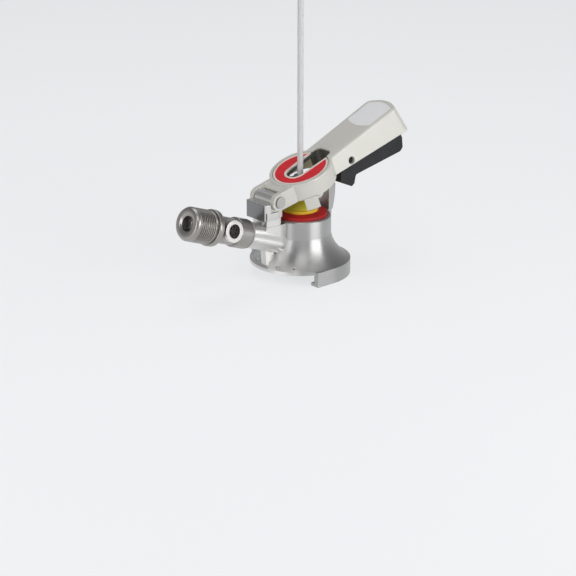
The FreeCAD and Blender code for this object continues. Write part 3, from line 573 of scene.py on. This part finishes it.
def ring_faces(rings, segments):
    """Faces that join each ring of points to the next, and the last to the first."""
    faces = []
    for ring in range(rings):
        following = (ring + 1) % rings
        for segment in range(segments):
            beside = (segment + 1) % segments
            faces.append((ring * segments + segment, following * segments + segment,
                          following * segments + beside, ring * segments + beside))
    return faces


def add_spigot():
    """Collar and cut thread of the gas inlet, as one turned mesh."""
    rows = spigot_profile()
    mesh = bpy.data.meshes.new("threaded_spigot")
    mesh.from_pydata(spigot_points(rows), [], ring_faces(len(rows), spigot_segments))
    shape = bmesh.new()
    shape.from_mesh(mesh)
    bmesh.ops.recalc_face_normals(shape, faces=shape.faces)
    for face in shape.faces:
        face.smooth = True
    for edge in shape.edges:
        edge.smooth = edge.calc_face_angle(0.0) < sharp_bend
    shape.to_mesh(mesh)
    shape.free()
    mesh.materials.append(adaptor_nickel("spigot_nickel", 0.06 * MM).material)
    spigot = place("threaded_spigot", mesh)
    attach(spigot, "body")
    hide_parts("gas_spigot")


def add_beer_line():
    """Taut line from the outlet straight up to its union."""
    curve = bpy.data.curves.new("beer_line_tube", "CURVE")
    curve.dimensions = "3D"
    curve.bevel_depth = line_radius
    curve.bevel_resolution = 6
    curve.use_fill_caps = True
    curve.materials.append(line_clear().material)
    spline = curve.splines.new("NURBS")
    heights = (line_exit_z, line_exit_z + line_end_run, line_end_z - line_end_run, line_end_z)
    spline.points.add(len(heights) - 1)
    for point, height in zip(spline.points, heights):
        point.co = (0.0, 0.0, height, 1.0)
    spline.order_u = 3
    spline.use_endpoint_u = True
    line = place("beer_line_tube", curve)
    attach(line, "probe")
    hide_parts("beer_line")


def floor_paper():
    """Pale paper that a camera, a mirror or glass sees partly by its own glow, with the shadows kept."""
    made = Shader("floor_paper")
    made.set("Roughness", 0.9)
    drift = made.spread(made.noise(floor_waves, detail=3.0), 0.0, 1.0)
    made.set("Base Color", made.mix(drift, floor_pale, floor_shade))
    glow = made.node("ShaderNodeEmission")
    made.fill(glow.inputs["Color"], floor_glow)
    rays = made.node("ShaderNodeLightPath").outputs
    shown = rays["Is Camera Ray"]
    for kind in ("Is Glossy Ray", "Is Transmission Ray"):
        shown = made.arithmetic("MAXIMUM", shown, rays[kind])
    blend = made.node("ShaderNodeMixShader")
    made.fill(blend.inputs["Fac"], made.arithmetic("MULTIPLY", shown, floor_glow_share))
    made.fill(blend.inputs[1], made.shader.outputs["BSDF"])
    made.fill(blend.inputs[2], glow.outputs["Emission"])
    made.fill(made.tree.nodes["Material Output"].inputs["Surface"], blend.outputs["Shader"])
    return made


def add_floor():
    """Pale floor that fills the view."""
    half = floor_size / 2
    corners = [(-half, -half, 0), (half, -half, 0), (half, half, 0), (-half, half, 0)]
    mesh = bpy.data.meshes.new("floor")
    mesh.from_pydata(corners, [], [(0, 1, 2, 3)])
    mesh.materials.append(floor_paper().material)
    place("floor", mesh)


def add_softbox(name, azimuth, elevation, reach, size, power, tint=(1.0, 1.0, 1.0)):
    """Area light of a width and height, at an azimuth from the camera's own, turned to the object."""
    turn = camera_azimuth + math.radians(azimuth)
    climb = math.radians(elevation)
    away = Vector((-math.sin(turn) * math.cos(climb), -math.cos(turn) * math.cos(climb), math.sin(climb)))
    data = bpy.data.lights.new(name, "AREA")
    data.shape = "RECTANGLE"
    data.size, data.size_y = size
    data.energy = power
    data.color = tint
    lamp = place(name, data)
    lamp.location = object_centre + away * reach
    lamp.rotation_euler = (-away).to_track_quat("-Z", "Y").to_euler()


def add_lamps():
    """A broad softbox on each side of the camera, one high in front and one over the back."""
    add_softbox("left_strip", azimuth=46.0, elevation=14.0, reach=1.1, size=(0.6, 0.5), power=2.8)
    add_softbox("right_strip", azimuth=-57.0, elevation=14.5, reach=1.1, size=(0.75, 0.6), power=5.8)
    add_softbox("top", azimuth=160.0, elevation=72.0, reach=1.2, size=(0.8, 0.8), power=3.0,
                tint=(0.98, 0.99, 1.0))
    add_softbox("front", azimuth=-8.0, elevation=55.0, reach=1.3, size=(0.6, 0.6), power=2.2)


def add_sky():
    """Dim world that is lighter low down."""
    world = bpy.data.worlds.new("studio")
    world.use_nodes = True
    bpy.context.scene.world = world
    tree = world.node_tree
    coords = tree.nodes.new("ShaderNodeTexCoord")
    split = tree.nodes.new("ShaderNodeSeparateXYZ")
    ramp = tree.nodes.new("ShaderNodeValToRGB")
    # A ramp starts with two elements
    elements = ramp.color_ramp.elements
    elements.new(0.5)
    for element, (height, tone) in zip(elements, sky_tones):
        element.position = height
        element.color = (*tone, 1.0)
    shade = tree.nodes["Background"]
    shade.inputs["Strength"].default_value = sky_strength
    tree.links.new(coords.outputs["Generated"], split.inputs["Vector"])
    tree.links.new(split.outputs["Z"], ramp.inputs["Fac"])
    tree.links.new(ramp.outputs["Color"], shade.inputs["Color"])


add_camera()
add_beer_line()
add_spigot()
dress_all()
add_floor()
add_lamps()
add_sky()

bpy.context.scene.view_settings.view_transform = "Standard"
